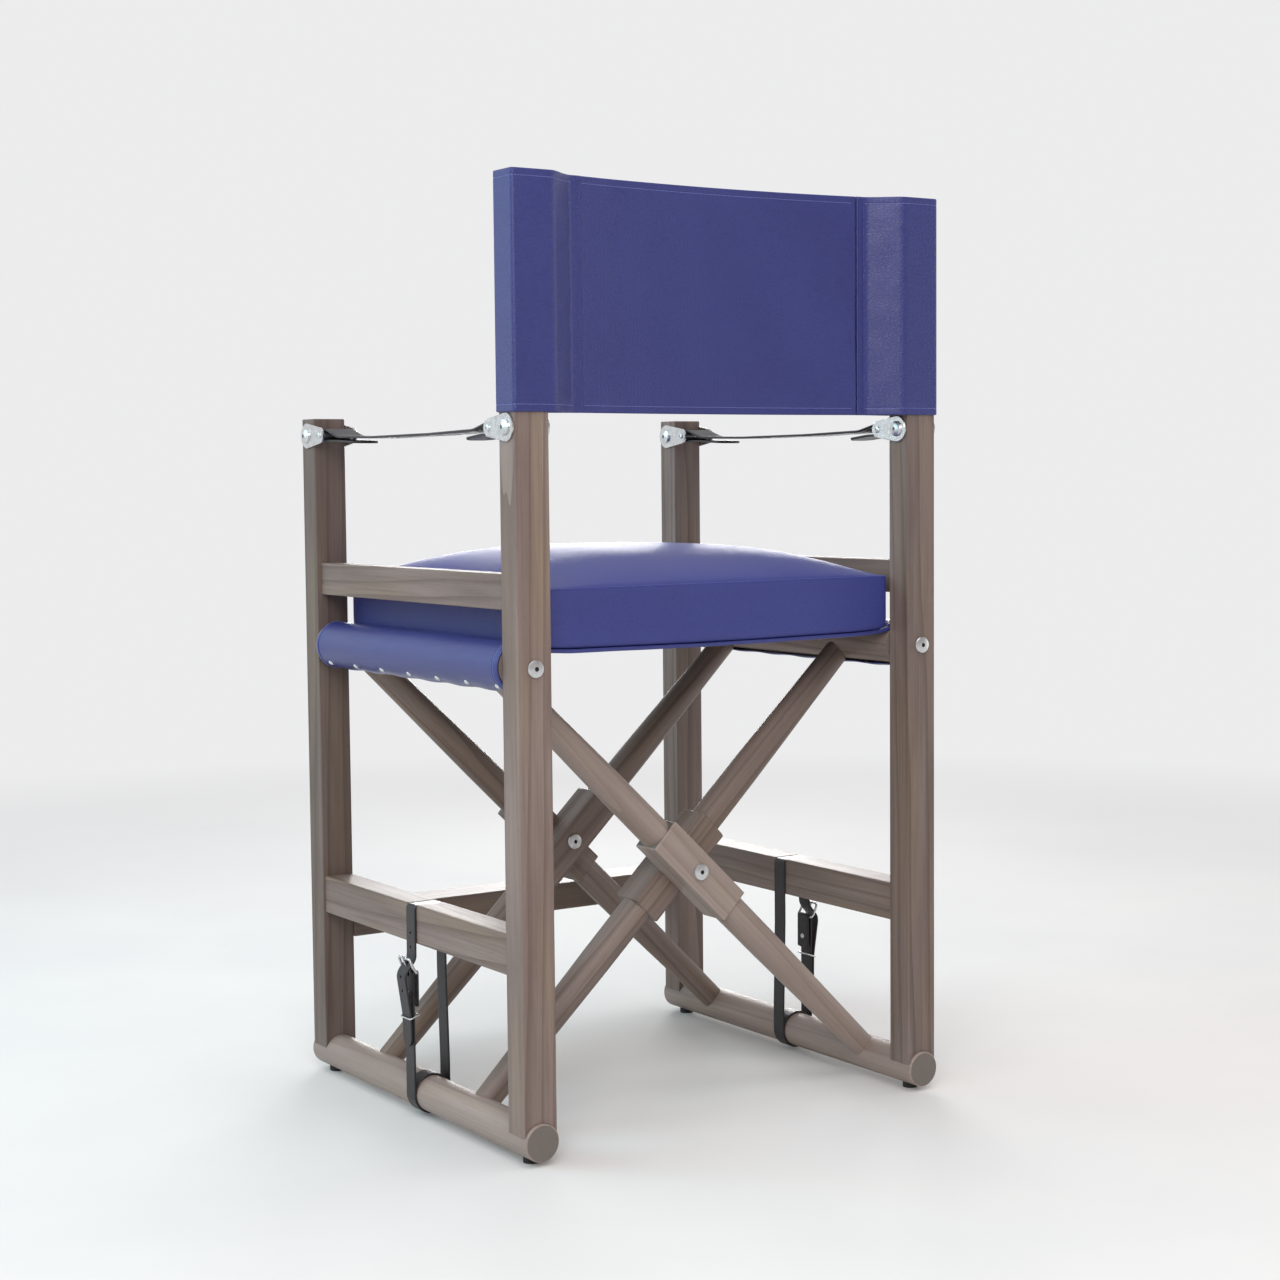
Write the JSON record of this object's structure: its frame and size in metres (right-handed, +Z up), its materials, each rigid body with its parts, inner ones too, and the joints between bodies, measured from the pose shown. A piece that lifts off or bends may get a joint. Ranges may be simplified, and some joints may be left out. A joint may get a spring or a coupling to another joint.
{
  "type": "folding counter-height armchair",
  "caption": "Folding counter-height armchair: crossed turned legs, sling seat with cushion, leather back, strap arms, and buckled straps tying the sides to the floor dowels.",
  "frame": {"origin": "on the floor under the middle of the bounding box", "axes": "+Z up, the chair faces -Y, +X is the sitter's left"},
  "size_m": [0.614, 0.5611, 1.083],
  "materials": {
    "wood": "oiled, satin",
    "seat_leather": "grained, semi-matt",
    "strap_leather": "smooth bridle leather, satin",
    "steel": "satin to polished",
    "rubber": "matt"
  },
  "bodies": {
    "side_frame_left": {"front_post_left": "wood", "rear_post_left": "wood", "upper_side_rail_left": "wood", "lower_stretcher_left": "wood", "front_shackle_left": "steel", "rear_shackle_left": "steel", "front_arm_bolt_left": "steel", "rear_arm_bolt_left": "steel", "front_arm_pin_left": "steel", "rear_arm_pin_left": "steel", "arm_strap_left": "strap_leather", "back_sleeve_left": "seat_leather", "tie_strap_left": "strap_leather", "tie_buckle_left": "steel", "tie_keeper_left": "steel", "tie_rivet_left": "steel", "back_panel": "seat_leather", "seat_sling": "seat_leather", "seat_cushion": "seat_leather"},
    "side_frame_right": {"front_post_right": "wood", "rear_post_right": "wood", "upper_side_rail_right": "wood", "lower_stretcher_right": "wood", "front_shackle_right": "steel", "rear_shackle_right": "steel", "front_arm_bolt_right": "steel", "rear_arm_bolt_right": "steel", "front_arm_pin_right": "steel", "rear_arm_pin_right": "steel", "arm_strap_right": "strap_leather", "back_sleeve_right": "seat_leather", "tie_strap_right": "strap_leather", "tie_buckle_right": "steel", "tie_keeper_right": "steel", "tie_rivet_right": "steel"},
    "outer_leg_frame": {"seat_rail_left": "wood", "seat_wrap_left": "seat_leather", "seat_nails_left": "steel", "seat_bolts_left": "steel", "outer_front_leg": "wood", "outer_rear_leg": "wood", "floor_dowel_right": "wood", "feet_right": "rubber", "pivot_bolt_front": "steel", "pivot_bolt_rear": "steel"},
    "inner_leg_frame": {"seat_rail_right": "wood", "seat_wrap_right": "seat_leather", "seat_nails_right": "steel", "seat_bolts_right": "steel", "inner_front_leg": "wood", "inner_rear_leg": "wood", "floor_dowel_left": "wood", "feet_left": "rubber"},
    "footrest": {"footrest_board": "wood"},
    "prong_left": {"tie_prong_left": "steel"},
    "prong_right": {"tie_prong_right": "steel"}
  },
  "joints": [
    {"name": "fold", "type": "hinge", "parent": "side_frame_left", "child": "outer_leg_frame", "pos_m": [0.272, 0, 0.548], "axis": [0, -1, 0], "range_deg": [0, 31], "deforming": ["back_panel", "seat_sling", "seat_cushion", "tie_strap_left", "tie_strap_right", "footrest_board"]},
    {"name": "leg_scissor", "type": "hinge", "parent": "outer_leg_frame", "child": "inner_leg_frame", "pos_m": [0, 0, 0.28725], "axis": [0, -1, 0], "range_deg": [-62, 0]},
    {"name": "side_follow", "type": "hinge", "parent": "inner_leg_frame", "child": "side_frame_right", "pos_m": [-0.272, 0, 0.548], "axis": [0, -1, 0], "range_deg": [0, 31]},
    {"name": "footrest_out", "type": "slide", "parent": "side_frame_left", "child": "footrest", "axis": [0, -1, 0], "range_m": [0, 0.09]},
    {"name": "prong_left_lift", "type": "hinge", "parent": "side_frame_left", "child": "prong_left", "pos_m": [0.2922, 0.0164, 0.173], "axis": [0, 1, 0], "range_deg": [0, 80]},
    {"name": "prong_right_lift", "type": "hinge", "parent": "side_frame_right", "child": "prong_right", "pos_m": [-0.2922, 0.0164, 0.173], "axis": [0, -1, 0], "range_deg": [0, 80]}
  ],
  "couplings": [
    {"joint": "leg_scissor", "follows": "fold", "ratio": -2},
    {"joint": "side_follow", "follows": "fold", "ratio": 1},
    {"joint": "footrest_out", "follows": "fold", "m_per_rad": 0.166}
  ]
}
